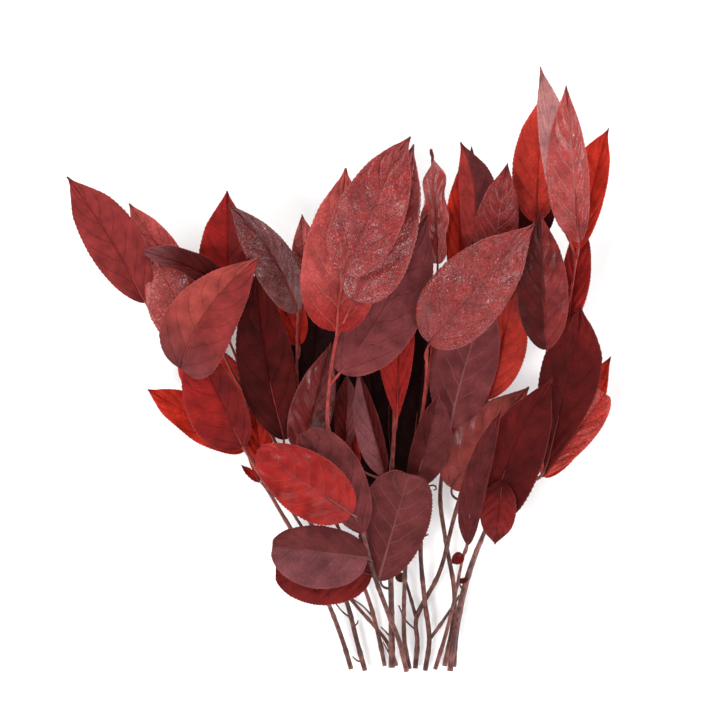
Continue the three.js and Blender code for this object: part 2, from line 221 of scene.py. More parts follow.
STEMS = {
    "left_outer_stem": stem(
        [twig(1.4, 0.8, (5.5, -150, 15), (1.5, -136.5, 17), (-6, -116.5, 22), (-17.5, -91.5, 30),
              (-32.5, -65.5, 40), (-46.5, -40, 50), (-59, -16.5, 57), (-77.5, 10, 61), (-96, 33.5, 61))],
        bud_leaf=leaf((-40, -55, 45), (-49.5, -46.5, 47), (2, 2), look("red"), wave=0, bow=0.5, curl=0),
        wavy_low=leaf(
            (-47.5, -39, 47), (-97, -8, 46), (10, 11), look("scarlet", glow=0.15), turn=8, bow=1, wave=3.2,
            full=0.5, sharp=0.7),
        ribbed=leaf(
            (-48.5, -37.5, 56), (-75, 18.5, 62.5), (18.5, 11), look("red", "wine", base="wine", vein=-0.3),
            full=0.5),
        netted=leaf(
            (-67.5, 11, 63), (-94, 60, 63), (16, 13), look("coral", "rose", gloss=0.85, net=1), fold=8),
        broad_matte=leaf(
            (-79.5, 1.5, 69), (-39, 57, 86), (17.5, 19),
            look("russet", "brick", base="mauve", gloss=0.2, net=0.3, vein=-0.3), sweep=6, full=0.35),
        outer_matte=leaf(
            (-97, 34.5, 62), (-136.6, 98.2, 66), (13, 15), look("brick", gloss=0.15, net=0.2, vein=-0.25),
            sweep=-2, full=0.7, drip=0.55),
    ),
    "left_middle_stem": stem(
        [twig(1.5, 0.8, (12.5, -151, 10), (8.5, -136.5, 12), (3, -115.5, 16), (-10, -86.5, 26),
              (-22.5, -59, 36), (-36, -28, 45), (-53, -1.5, 50), (-64, 23.5, 52), (-68.5, 34.5, 51))],
        [offshoot((4.8, -124), (1, -121), (-2.2, -117)),
         offshoot((6.3, -128.5), (8.4, -127.5), (9, -125.5)),
         offshoot((10.7, -146.5), (8.5, -146), (6.2, -143.8))],
        long_dark=leaf(
            (-27.5, -34, 46), (-41.5, 52, 60), (15, 14), look("maroon", "oxblood", gloss=0.25), sweep=3,
            fold=8),
        rolled=leaf(
            (-51, 40, 63), (-97, 61, 72.8), (6, 8), look("maroon", tip="ash_mauve"), turn=22, fold=20,
            sharp=0.5, drip=0.2),
        bright_upright=leaf((-55, 23.5, 50), (-56.5, 91.5, 55), (15.5, 13), look("red", "wine", glow=0.1)),
        bright_left=leaf((-75, 38.5, 50), (-106, 85, 52), (10, 9), look("coral", net=0.8), fold=8),
    ),
    "left_inner_stem": stem(
        [twig(1.3, 0.7, (22.5, -149, 4.6), (20, -136.5, 5.4), (14.5, -115.5, 10.7), (2.5, -86.5, 22),
              (-12, -51.5, 34), (-20, -24, 42), (-21.5, 16, 50), (-21, 30, 57))],
        [offshoot((16.8, -124.5), (12, -119), (6.2, -114.8))],
        creased=leaf(
            (-19, -40, 42), (-4.5, 14.5, 60), (12.5, 11), look("wine", "oxblood", gloss=0.6), fold=24, wave=2,
            full=0.5),
        bright_between=leaf((-20, 13.5, 44), (-39, 55, 46), (10, 10), look("scarlet", glow=0.15)),
        half_hidden=leaf((-18.5, 36, 54), (-19, 79, 60), (6, 11), look("rose", gloss=0.75, net=1), full=0.5),
        # inner_shade and gap_shade are dark sheets of painted shade, laid low where deep shade lies between
        # the leaves
        inner_shade=leaf((-16, -24, 33), (-9, 58, 37), (16, 15), look("painted_shade", gloss=0.1)),
        gap_shade=leaf((-7, -62, 26), (4, 30, 38), (10, 13), look("painted_shade", gloss=0.1)),
        # top_dark's right half is painted pale mauve, a painted glint over the dark dye.
        top_dark=leaf(
            (-21, 30, 60), (-55.5, 83.5, 78), (13, 10), look("wine", "light_mauve", gloss=1, net=1), fold=20,
            sweep=-4.5),
    ),
    "left_under_stem": stem(
        [twig(1.1, 0.7, (28.5, -149, 0.95), (24, -137.5, 2.5), (5, -114.5, 7), (-14, -86.5, 13),
              (-30, -61.5, 20), (-42.5, -41.5, 25), (-47, -16.5, 29), (-50, 1, 31), (-57.5, 21, 31),
              (-60, 38, 29))],
        inner_bright=leaf((-38, -55, 25), (-44, -11.5, 34), (7, 7), look("scarlet", glow=0.15)),
        resting_low=leaf((-47.5, -15, 27), (-84.5, 10, -8), (12, 15), look("scarlet"), curl=0),
        resting_left=leaf((-57, 20, 28), (-80, 62, -8), (14, 15), look("red"), curl=0),
        resting_top=leaf((-60, 40, 28), (-48, 78, 8), (12, 13), look("wine")),
    ),
    "centre_front_stem": stem(
        [twig(1.5, 0.9, (33.5, -151, 20), (30, -136.5, 23.4), (24, -121, 28.4), (15.5, -97, 38),
              (11, -78, 46), (5, -62, 53), (-2, -37, 63), (-6, -26.5, 67), (-4, 3.5, 75), (-0.5, 23.5, 81))],
        low_underside=leaf(
            (14, -93, 44), (-35, -87, 52), (18.5, 13), look("ash_mauve", "mauve", vein=0.2), under=True,
            full=0.45, sharp=0.5, drip=0, fold=4),
        low_red=leaf(
            (16, -101, 35), (-33, -100, 37), (16.5, 10), look("wine"), full=0.5, sharp=0.5, drip=0, fold=6),
        arched_underside=leaf(
            (11.5, -80.5, 50), (-19, -28, 72), (11, 15.5), look("mauve"), under=True, sweep=-1, sharp=0.5,
            drip=0, bow=-1, fold=5),
        dark_centre=leaf((3, -38, 53), (3.6, 0, 45), (6.5, 6), look("oxblood", "mauve")),
        glossy_low=leaf(
            (6, -71, 58), (-40.5, -38.5, 80), (16.5, 16), look("red", gloss=0.45, net=0.3, vein=0.15),
            full=0.55, sharp=0.6, drip=0),
        mauve_underside=leaf(
            (0, -0.5, 75), (44, 80, 73.4), (15, 19.5), look("light_mauve"), under=True, fold=6, sweep=-4,
            full=0.5),
        bright_back=leaf(
            (-1.5, 20, 82), (3, 102.5, 82), (19.5, 18), look("coral", base="red", net=0.7, vein=0.5), fold=6,
            full=0.42),
        front_under=leaf(
            (7, 35.5, 87), (37, 114, 88), (13, 19), look("clear_red", gloss=0.95, net=1, vein=0.3), fold=5,
            full=0.4),
        front_big=leaf(
            (1.5, 48, 91.5), (33.5, 118, 97.5), (17, 17), look("clear_red", gloss=0.85, net=1, vein=-0.7),
            fold=6, full=0.5, hook=-2),
    ),
    "centre_back_stem": stem(
        [twig(1.9, 0.8, (26, -149, 18.5), (26, -134, 21.4), (25.5, -105, 26.5), (24.5, -69, 33),
              (27, -31.5, 43), (27, 1, 50), (26, 22, 54))],
        [offshoot((25.9, -134.5), (23, -131), (20.5, -128.5)),
         offshoot((26, -144), (24, -140.5), (21.5, -136))],
        lowest_underside=leaf(
            (19, -105, 30), (35, -49, 56), (18, 17), look("mauve", vein=0.4), under=True, sharp=0.4, drip=0,
            fold=8, full=0.5),
        shrivelled_low=leaf((9, -49, 40), (3, -19, 44), (3.5, 3.5), look("red"), wave=2, fold=36),
        # This leaf's grey mauve left half is painted sheen; its right half is the dark dye.
        half_turned=leaf((22.5, -52, 46), (9, 1, 64), (9.5, 4.5), look("ash_mauve", "maroon"), fold=18),
        pointed_down=leaf((28.5, -25, 48), (30, 51, 62), (11, 8), look("red"), full=1.1),
        # deep_shade is a dark sheet of painted shade, laid low where deep shade lies between the leaves
        deep_shade=leaf((20, -62, 18), (14, 22, 27), (13, 13), look("painted_shade", gloss=0.1)),
    ),
    "centre_right_stem": stem(
        [twig(1.4, 0.8, (35, -150, 12), (32.5, -136.5, 14), (32.5, -106.5, 20), (35, -71.5, 29),
              (38.5, -39, 39), (42.5, -9, 52), (43.5, 11, 62)),
         twig(0.9, 0.7, (40.5, -24, 45), (45, 2, 44), (47, 25, 45), (48.5, 48, 48))],
        upright_underside=leaf(
            (36, -60, 38), (49, -9, 62), (7.5, 12), look("dusky", "mauve"), under=True, sweep=-1.5),
        # low_shade is a dark sheet of painted shade, laid low where deep shade lies between the leaves
        low_shade=leaf((35, -58, 22), (46, 52, 36), (15, 16), look("painted_shade", gloss=0.1)),
        dark_behind=leaf((48, 13.5, 45), (53.5, 55, 48), (10, 8), look("wine")),
        shrivelled_top=leaf(
            (49, 54, 51), (45.5, 112, 58), (8, 7), look("rose", gloss=1, net=0.6), wave=3.5, twist=160,
            full=0.3, sharp=0.5, drip=0.2),
        front_netted=leaf(
            (44, 14.5, 66), (96.5, 73.5, 90), (21, 17.5), look("red", "clear_red", gloss=1, net=1, vein=-0.6),
            full=0.5),
    ),
    "right_inner_stem": stem(
        [twig(1.5, 0.8, (38, -150, 6), (39, -136.5, 8), (38.5, -125, 9), (50, -101.5, 15.2), (57, -75, 21.5),
              (63, -53, 29), (70, -26.5, 37), (76, 1, 43), (79, 30, 48), (77, 48, 51)),
         twig(1.1, 0.8, (38.5, -125, 9), (35.5, -114, 10), (32.5, -104, 12))],
        [offshoot((38.6, -131), (33, -125.5), (29.5, -118))],
        dry_scrap=leaf((32.5, -105, 12), (27.5, -102, 13), (2.5, 2.5), look("dry"), wave=0, bow=0, curl=0),
        folded_red=leaf((55, -58, 30), (95, -7, 42), (17, 14), look("russet", gloss=0.6), full=0.5),
        bright_strip=leaf(
            (74, -14, 40), (87.5, 41, 48), (7, 13), look("flame", tip="rose", glow=0.15), full=0.75),
        veined_top=leaf(
            (76, 57, 53), (83.5, 104, 66), (12, 10.5), look("red", gloss=0.7, net=1, vein=0.5), full=0.4),
    ),
    "right_middle_stem": stem(
        [twig(1.5, 0.8, (43, -151, 9), (45, -135.5, 11), (42.5, -114, 15), (40.5, -86.5, 23),
              (43.5, -56.5, 31), (48.5, -29, 38), (56, -1.5, 43), (61, 31, 47), (64, 50, 52)),
         twig(1.1, 0.7, (45, -135.5, 11), (50.5, -128, 12), (60.3, -113, 15.4))],
        [offshoot((43.6, -57.5), (47.5, -57), (48.5, -58.7), (47, -59.5), rise=1),
         offshoot((41, -83.5), (44.5, -81.8), rise=1)],
        broad_mauve=leaf(
            (55, -28, 46), (75, 41, 66), (16.5, 16), look("light_mauve", vein=0.5), under=True, sweep=1.5,
            fold=6),
        bright_edge=leaf((61, 41, 48), (59.5, 103.5, 50), (8, 7.5), look("scarlet", glow=0.15)),
        mauve_top=leaf(
            (65, 61, 56.5), (59.5, 115.5, 63), (8, 12), look("rose", "mauve"), under=True, sweep=-5),
        far_tip=leaf((64, 56, 42), (66, 114, 42), (6, 8), look("dusky")),
    ),
    "right_low_stem": stem(
        [twig(1.3, 0.7, (48, -150, 14), (53.5, -131.5, 20), (57.5, -114, 28), (61.5, -94, 38),
              (66, -78, 43))],
        [offshoot((51.2, -139.5), (52.8, -134), (53.8, -129.3))],
        round_bud_leaf=leaf(
            (61, -91, 41), (56, -96, 42), (3.4, 2.6), look("wine"), wave=0, bow=0.5, curl=0, full=0.5,
            sharp=0.7),
        narrow_mauve=leaf(
            (64, -86.5, 47), (81.5, -15, 78), (7, 6), look("dusky"), under=True, sweep=4, bow=-9),
    ),
    "right_under_stem": stem(
        [twig(1.5, 0.8, (53, -149, 1.3), (57.5, -124, 5.5), (57.5, -109, 9.5), (53.5, -86.5, 15.3),
              (50.5, -60, 18.5), (57.5, -26.5, 24), (71, 11, 29), (85, 51, 35), (92, 66, 38))],
        resting_centre=leaf((53.5, -41.5, 19), (42, 11, -8), (14, 14), look("wine"), curl=0),
        resting_right=leaf((65, -8, 24), (56, 47, -8), (15, 15), look("wine"), curl=0),
        under_top=leaf((78, 31, 31), (90, 73.5, 4), (13, 13), look("red")),
        dark_shadow=leaf((95, 63.5, 36), (103, 107, 37), (10, 10), look("maroon")),
        bright_right=leaf((98, 75, 46), (101, 139, 60), (13.5, 11), look("flame", glow=0.15)),
    ),
    "right_outer_stem": stem(
        [twig(1.8, 0.9, (55.5, -151, 14.2), (57.5, -134, 16.5), (63, -106.5, 24), (70.5, -85, 36),
              (80, -66, 42), (94, -52, 43), (104, -38, 45))],
        [offshoot((63.2, -105.5), (60.5, -104), rise=1)],
        bract=leaf((59.6, -105.6, 27.5), (64.8, -104, 29), (1.3, 1.4), look("wine"), wave=0, bow=0.3, curl=0),
        hanging_red=leaf(
            (81, -54, 57), (77.5, -87.5, 48.5), (8.5, 9.5), look("wine", base="maroon"), fold=4, bow=4,
            lag=-8),
        maroon_broad=leaf((76, -75, 47), (106, -3, 70), (14.5, 16.5), look("oxblood"), fold=5, sweep=4.5),
        bright_lobe=leaf(
            (101, -53, 38.5), (133, -10, 43), (14, 9.5), look("flame", gloss=0.6, net=0.9, glow=0.1),
            full=0.8, sharp=0.45, drip=0),
        bright_outer=leaf((102.5, -53, 34), (136.5, 8.5, 36), (13, 10), look("scarlet", glow=0.15)),
        deep_red=leaf(
            (102.5, -51.5, 47), (122, 34, 55.5), (14, 16), look("maroon", "oxblood", tip="wine"), fold=3,
            hook=2, full=1.25),
    ),
    "right_tall_stem": stem(
        [twig(1.5, 0.8, (57.5, -149, 11), (58.5, -134, 13), (64.5, -104, 19), (74, -77.5, 26), (87, -49, 32),
              (100, -15, 39), (108.5, 13.5, 46), (115.5, 41, 53), (118.5, 62, 60))],
        # dark_sheen's right half is painted a lighter brick, a painted sheen over the dark dye.
        dark_sheen=leaf(
            (102.6, 11, 57.5), (99.5, 80, 74), (13.5, 12.5), look("maroon", "brick", gloss=0.45, vein=-0.4)),
        side_dark=leaf((114, 23.5, 47.5), (121.5, 78.5, 50), (7, 8), look("red"), wave=1.8),
        side_bright=leaf(
            (118.5, 61, 56), (133.5, 123, 57), (14, 7), look("scarlet", glow=0.1), sharp=0.75, drip=0.6,
            hook=-1),
        pale_tall=leaf((111, 77, 66), (99, 153, 80), (6, 10), look("pale_rose", vein=0.5), under=True),
        glossy_tall=leaf(
            (119, 64.5, 68), (112, 142.5, 88), (14, 7.5),
            look("rose", base="red", gloss=1, net=0.6, vein=0.7)),
    ),
}


def linear(code):
    """An sRGB hex colour as linear numbers."""
    parts = [int(code[i:i + 2], 16) / 255 for i in (1, 3, 5)]
    return (*[c / 12.92 if c <= 0.04045 else ((c + 0.055) / 1.055) ** 2.4 for c in parts], 1.0)


def add_node(tree, kind, settings=None, links=None):
    """Adds a node, makes its settings, and links or sets its inputs. A node stands for its first output."""
    node = tree.nodes.new(kind)
    for name, value in (settings or {}).items():
        setattr(node, name, value)
    for place, value in (links or {}).items():
        if isinstance(value, bpy.types.Node):
            value = value.outputs[0]
        if isinstance(value, bpy.types.NodeSocket):
            tree.links.new(value, node.inputs[place])
        else:
            node.inputs[place].default_value = value
    return node


SIGNS = {ast.Add: "ADD", ast.Sub: "SUBTRACT", ast.Mult: "MULTIPLY", ast.Div: "DIVIDE", ast.Pow: "POWER"}


def formulas(tree, known, text):
    """Builds the nodes for lines such as a = b * sine(c), and adds what each line gives to the known names.

    The words are operations of the Math node, and smooth, vector and blend, which are the Map Range, Combine
    XYZ and Mix nodes.
    """

    def build(part):
        if isinstance(part, ast.Name):
            return known[part.id]
        if isinstance(part, ast.Constant):
            return part.value
        if isinstance(part, ast.BinOp):
            word = SIGNS[type(part.op)]
            terms = [part.left, part.right]
        else:
            word = part.func.id.upper()
            terms = part.args
        values = dict(enumerate(map(build, terms)))
        if word == "SMOOTH":
            return add_node(tree, "ShaderNodeMapRange", {"interpolation_type": "SMOOTHSTEP"}, values)
        if word == "VECTOR":
            return add_node(tree, "ShaderNodeCombineXYZ", links=values)
        if word == "BLEND":
            return add_node(tree, "ShaderNodeMix", {"data_type": "RGBA"},
                            {0: values[0], 6: values[1], 7: values[2]}).outputs[2]
        return add_node(tree, "ShaderNodeMath", {"operation": word}, values)

    for line in ast.parse(textwrap.dedent(text)).body:
        known[line.targets[0].id] = build(line.value)
    return known


def new_tree(name, inputs):
    """A geometry tree with named inputs, and these inputs as the known names of its formulas."""
    tree = bpy.data.node_groups.new(name, "GeometryNodeTree")
    tree.is_modifier = True
    for label, kind in inputs.items():
        tree.interface.new_socket(label, in_out="INPUT", socket_type="NodeSocket" + kind)
    tree.interface.new_socket("Geometry", in_out="OUTPUT", socket_type="NodeSocketGeometry")
    source = add_node(tree, "NodeGroupInput")
    return tree, {label.lower().replace(" ", "_"): source.outputs[label] for label in inputs}


def pressed_flat(tree, geometry, lowest):
    """The geometry, with what would go below this height pressed flat there."""
    spot = add_node(tree, "ShaderNodeSeparateXYZ", links={0: add_node(tree, "GeometryNodeInputPosition")})
    known = dict(zip("xyz", spot.outputs), lowest=lowest)
    formulas(tree, known, "place = vector(x, y, maximum(z, lowest))")
    return add_node(tree, "GeometryNodeSetPosition", links={"Geometry": geometry, "Position": known["place"]})


def end_tree(tree, geometry):
    """Lays the geometry on the table and gives it out as real meshes."""
    real = add_node(tree, "GeometryNodeRealizeInstances", links={0: pressed_flat(tree, geometry, 0)})
    add_node(tree, "NodeGroupOutput", links={0: real})


# A blade in its own frame: u runs from its base to its tip, v from its right edge, -1, to its left, 1, and
# reach from the midrib, 0, to either edge, 1.
BLADE_FORM = """
    side = sign(grid_y)
    reach = absolute(grid_y) ** 1.3  # the columns crowd towards the midrib
    v = side * reach
    widest = full / (full + sharp)
    peak = widest ** full * (1 - widest) ** sharp
    oval = u ** full * (1 - u) ** sharp / peak
    share = oval * (1 - drip * smooth(u, 0.72, 1)) * (1 - drip * smooth(u, 0.88, 0.98))
    left = greater_than(grid_y, 0)
    width = left * left_half + (1 - left) * right_half
    tooth = 1 + tooth_depth * (fract(u * teeth) - 0.4) * smooth(reach, 0.8, 1)
    half = width * share * reach * tooth
    ripple = sine(tau * (waves * u + phase) + 1.7 * side)
    vein_place = u - lean * reach - arch * reach ** 3 + stagger * side + 0.08 * (noise - 0.5)
    bulge = quilting * (1 - cosine(tau * pairs * vein_place)) * reach * (1 - reach) * smooth(u, 0, 0.2)
    crumpled = crumple * (noise - 0.5) * smooth(u, 0, 0.15)
    groove = midrib_depth * (1 - smooth(half, 0, rib_width)) * (1 - u)
    out = side * half * cosine(fold)
    lift = sense * (half * sine(fold) + bulge - groove) + crumpled + wave * ripple * share * reach ** 2
    turn = twist * (u - 0.4)
    middle = 4 * u * (1 - u)
    place_x = length * u
    place_y = out * cosine(turn) - lift * sine(turn) + sweep * middle + hook * smooth(u, 0.8, 1) ** 2
    place_z = out * sine(turn) + lift * cosine(turn) + sense * (bow * middle + curl * smooth(u, 0.45, 1) ** 2)
    place = vector(place_x, place_y, place_z)
    leaf_share = vector(u, v, number)
    leaf_mm = vector(place_x / mm, side * half / mm, number)
    dye = blend(smooth(v, 0 - 0.1, 0.1), right_dye, left_dye)
    dye = blend(tip_share * smooth(u, 0.6, 1), dye, tip_dye)
    dye = blend(base_share * (1 - smooth(u, 0, 0.4)), dye, base_dye)
"""
# The attributes that a blade keeps for its materials, stored while it is flat. Its dye holds painted light
# too.
KEPT_ON_BLADE = {
    "leaf_share": "FLOAT_VECTOR",
    "leaf_mm": "FLOAT_VECTOR",
    "finish": "FLOAT_VECTOR",
    "glow": "FLOAT",
    "dye": "FLOAT_COLOR",
}


def thickened(tree, sheet, known):
    """A closed blade: the sheet goes down by half its thickness, and its copy goes up by the whole."""
    formulas(tree, known, "down = 0 - thickness / 2")
    sink = add_node(tree, "ShaderNodeVectorMath", {"operation": "SCALE"}, {
        0: add_node(tree, "GeometryNodeInputNormal"), "Scale": known["down"]})
    low = add_node(tree, "GeometryNodeSetPosition", links={"Geometry": sheet, "Offset": sink})
    low = add_node(tree, "GeometryNodeSetShadeSmooth", links={"Geometry": low})
    thick = add_node(tree, "GeometryNodeExtrudeMesh", {"mode": "FACES"},
                     {"Mesh": low, "Offset Scale": known["thickness"], "Individual": False})
    rim = add_node(tree, "GeometryNodeSetShadeSmooth", links={
        "Geometry": thick, "Selection": thick.outputs["Side"], "Shade Smooth": False})
    near = add_node(tree, "GeometryNodeSetMaterial", links={"Geometry": rim, "Material": known["near_side"]})
    under = add_node(tree, "GeometryNodeFlipFaces", links={"Mesh": low})
    under = add_node(tree, "GeometryNodeStoreNamedAttribute", {"data_type": "FLOAT_COLOR", "domain": "POINT"},
                     {"Geometry": under, "Name": "dye", "Value": known["far_dye"]})
    far = add_node(tree, "GeometryNodeSetMaterial", links={"Geometry": under, "Material": known["far_side"]})
    both = add_node(tree, "GeometryNodeJoinGeometry")
    for part in (far, near):
        tree.links.new(part.outputs[0], both.inputs[0])
    return add_node(tree, "GeometryNodeMergeByDistance", links={"Geometry": both, "Distance": 1e-7})


def blade_tree():
    """A leaf blade by rule: outline, teeth, fold, waves, quilting between veins, then its thickness."""
    floats = ("Length", "Left Half", "Right Half", "Fold", "Bow", "Sweep", "Wave", "Curl", "Twist", "Full",
              "Sharp", "Drip", "Hook", "Tip Share", "Base Share", "Phase", "Sense", "Thickness", "Teeth",
              "Tooth Depth", "Quilting", "Midrib Depth", "Crumple", "Number", "Glow")
    inputs = {name: "Float" for name in floats}
    inputs.update({"Rows": "Int", "Columns": "Int"})
    inputs.update({name: "Vector" for name in ("Base", "Heading", "Finish")})
    inputs.update({f"{place} Dye": "Color" for place in ("Left", "Right", "Tip", "Base", "Far")})
    inputs.update({"Near Side": "Material", "Far Side": "Material"})
    tree, known = new_tree("Salal blade", inputs)

    flat = add_node(tree, "GeometryNodeMeshGrid", links={
        "Size X": 1.0, "Size Y": 2.0, "Vertices X": known["rows"], "Vertices Y": known["columns"]})
    spot = add_node(tree, "ShaderNodeSeparateXYZ", links={0: add_node(tree, "GeometryNodeInputPosition")})
    known.update(grid_x=spot.outputs[0], grid_y=spot.outputs[1], **BLADE_RULE, **VEINS)
    formulas(tree, known, """
        u = grid_x * span + midway
        noise_at = vector(u * length / mm, grid_y * (left_half + right_half) / 2 / mm, number * 9.1)
    """)
    known["noise"] = add_node(tree, "ShaderNodeTexNoise", links={
        "Vector": known["noise_at"], "Scale": 1 / CRUMPLE_SIZE, "Detail": 1.5})
    formulas(tree, known, BLADE_FORM)

    for name, kind in KEPT_ON_BLADE.items():
        flat = add_node(tree, "GeometryNodeStoreNamedAttribute", {"data_type": kind, "domain": "POINT"},
                        {"Geometry": flat, "Name": name, "Value": known[name]})
    shaped = add_node(tree, "GeometryNodeSetPosition", links={"Geometry": flat, "Position": known["place"]})
    placed = add_node(tree, "GeometryNodeTransform", links={
        "Geometry": shaped, "Translation": known["base"], "Rotation": known["heading"]})
    formulas(tree, known, "lowest = thickness / 2")
    end_tree(tree, thickened(tree, pressed_flat(tree, placed, known["lowest"]), known))
    return tree


def buds(tree, line, known):
    """Small pointed buds along a twig, but not at its cut end, each leaning forward on another side."""
    spots = add_node(tree, "GeometryNodeCurveToPoints", {"mode": "LENGTH"},
                     {"Curve": line, "Length": known["knot_spacing"]})
    known["number"] = add_node(tree, "GeometryNodeInputIndex")
    formulas(tree, known, """
        spin = vector(0, 0, number * 2.4 + seed)  # the golden angle, as leaves grow
        narrow = bud_length * 0.55
        size = vector(narrow, narrow, bud_length)
        past_cut = greater_than(number, 0.5)
    """)
    turn = spots.outputs["Rotation"]
    for angles in (known["spin"], BUD_LEAN):
        turn = add_node(tree, "FunctionNodeRotateRotation", {"rotation_space": "LOCAL"}, {0: turn, 1: angles})
    ball = add_node(tree, "GeometryNodeMeshUVSphere", links={"Segments": 8, "Rings": 6, "Radius": 0.5})
    placed = add_node(tree, "GeometryNodeInstanceOnPoints", links={
        "Points": spots, "Selection": known["past_cut"], "Instance": ball, "Rotation": turn,
        "Scale": known["size"]})
    pushed = add_node(tree, "GeometryNodeTranslateInstances", links={
        0: placed, "Translation": BUD_OUT, "Local Space": True})
    real = add_node(tree, "GeometryNodeRealizeInstances", links={0: pushed})
    shaded = add_node(tree, "GeometryNodeSetShadeSmooth", links={0: real})
    return add_node(tree, "GeometryNodeSetMaterial", links={"Geometry": shaded, "Material": known["bark"]})


def wood_tree():
    """A woody stem along a curve: tapered, with low knots, buds between them, and both ends cut flat."""
    floats = ("Thick", "Thin", "Knot Spacing", "Knot Height", "Bud Length", "Unevenness")
    inputs = {"Path": "Geometry", **{name: "Float" for name in floats}}
    inputs.update({"Sides": "Int", "Seed": "Int", "Bark": "Material", "Cut End": "Material"})
    tree, known = new_tree("Salal wood", inputs)
    path = add_node(tree, "GeometryNodeResampleCurve", {"mode": "LENGTH"},
                    {"Curve": known["path"], "Length": WOOD_STEP})
    along = add_node(tree, "GeometryNodeSplineParameter")
    noise = add_node(tree, "ShaderNodeTexNoise", {"noise_dimensions": "4D"}, {
        "W": known["seed"], "Scale": WOOD_LUMPS, "Detail": 2.0})
    known.update(factor=along.outputs["Factor"], length=along.outputs["Length"], noise=noise, mm=MM)
    formulas(tree, known, """
        from_knot = absolute(fract(length / knot_spacing) - 0.5) * knot_spacing
        knot = knot_height * (1 - smooth(from_knot, 0.2 * mm, 2.4 * mm))
        radius = (thick + (thin - thick) * factor + knot) * (1 + unevenness * (noise - 0.5))
        bark_along = length / mm
    """)
    marked = add_node(tree, "GeometryNodeStoreNamedAttribute", {"data_type": "FLOAT", "domain": "POINT"},
                      {"Geometry": path, "Name": "bark_along", "Value": known["bark_along"]})
    ring = add_node(tree, "GeometryNodeCurvePrimitiveCircle", {"mode": "RADIUS"},
                    {"Resolution": known["sides"], "Radius": 1.0})
    around = add_node(tree, "GeometryNodeSplineParameter")
    ring = add_node(tree, "GeometryNodeStoreNamedAttribute", {"data_type": "FLOAT", "domain": "POINT"},
                    {"Geometry": ring, "Name": "bark_round", "Value": around.outputs["Factor"]})
    line = add_node(tree, "GeometryNodeSetCurveRadius", links={0: marked, "Radius": known["radius"]})
    bar = add_node(tree, "GeometryNodeCurveToMesh", links={
        "Curve": line, "Profile Curve": ring, "Scale": known["radius"], "Fill Caps": True})
    known["corners"] = add_node(tree, "GeometryNodeInputMeshFaceNeighbors")
    formulas(tree, known, """
        is_cap = greater_than(corners, 4.5)
        is_side = 1 - is_cap
    """)
    shaded = add_node(tree, "GeometryNodeSetShadeSmooth", links={
        "Geometry": bar, "Shade Smooth": known["is_side"]})
    barked = add_node(tree, "GeometryNodeSetMaterial", links={"Geometry": shaded, "Material": known["bark"]})
    cut = add_node(tree, "GeometryNodeSetMaterial", links={
        "Geometry": barked, "Selection": known["is_cap"], "Material": known["cut_end"]})
    whole = add_node(tree, "GeometryNodeJoinGeometry")
    for part in (cut, buds(tree, line, known)):
        tree.links.new(part.outputs[0], whole.inputs[0])
    end_tree(tree, whole)
    return tree


def run_tree(tree, data, values):
    """The plain mesh that a tree gives with these values on an object with this data."""
    carrier = bpy.data.objects.new("carrier", data)
    bpy.context.collection.objects.link(carrier)
    modifier = carrier.modifiers.new("rule", "NODES")
    modifier.node_group = tree
    sockets = {s.name: s.identifier for s in tree.interface.items_tree if s.in_out == "INPUT"}
    for name, value in values.items():
        modifier[sockets[name]] = value
    shown = carrier.evaluated_get(bpy.context.evaluated_depsgraph_get())
    mesh = bpy.data.meshes.new_from_object(shown)
    bpy.data.objects.remove(carrier)
    return mesh


def joined(name, meshes):
    """One object at the origin that holds all these meshes."""
    objects = []
    for mesh in meshes:
        piece = bpy.data.objects.new(name, mesh)
        bpy.context.collection.objects.link(piece)
        objects.append(piece)
    with bpy.context.temp_override(active_object=objects[0], selected_editable_objects=objects,
                                   selected_objects=objects, object=objects[0]):
        if len(objects) > 1:
            bpy.ops.object.join()
    objects[0].name = name
    objects[0].data.name = name
    return objects[0]


def leaf_axes(shape):
    """A leaf's own directions: along it, to its left and up from it, and its length."""
    along = shape["tip"] - shape["base"]
    x = along.normalized()
    z = (Vector((0, 0, 1)) - x * x.z).normalized()
    z.rotate(Matrix.Rotation(math.radians(shape["turn"]), 3, x))
    return x, z.cross(x), z, along.length


def midrib_point(shape, u):
    """The place on the midrib at a share of the leaf's length, by the blade's own formulas."""
    x, y, z, length = leaf_axes(shape)
    middle = 4 * u * (1 - u)
    late = min(max((u - 0.45) / 0.55, 0), 1)
    late = late * late * (3 - 2 * late)
    sense = -1 if shape["under"] else 1
    rise = sense * (shape["bow"] * middle + shape["curl"] * late**2)
    return shape["base"] + x * (length * u) + y * (shape["sweep"] * middle) + z * rise


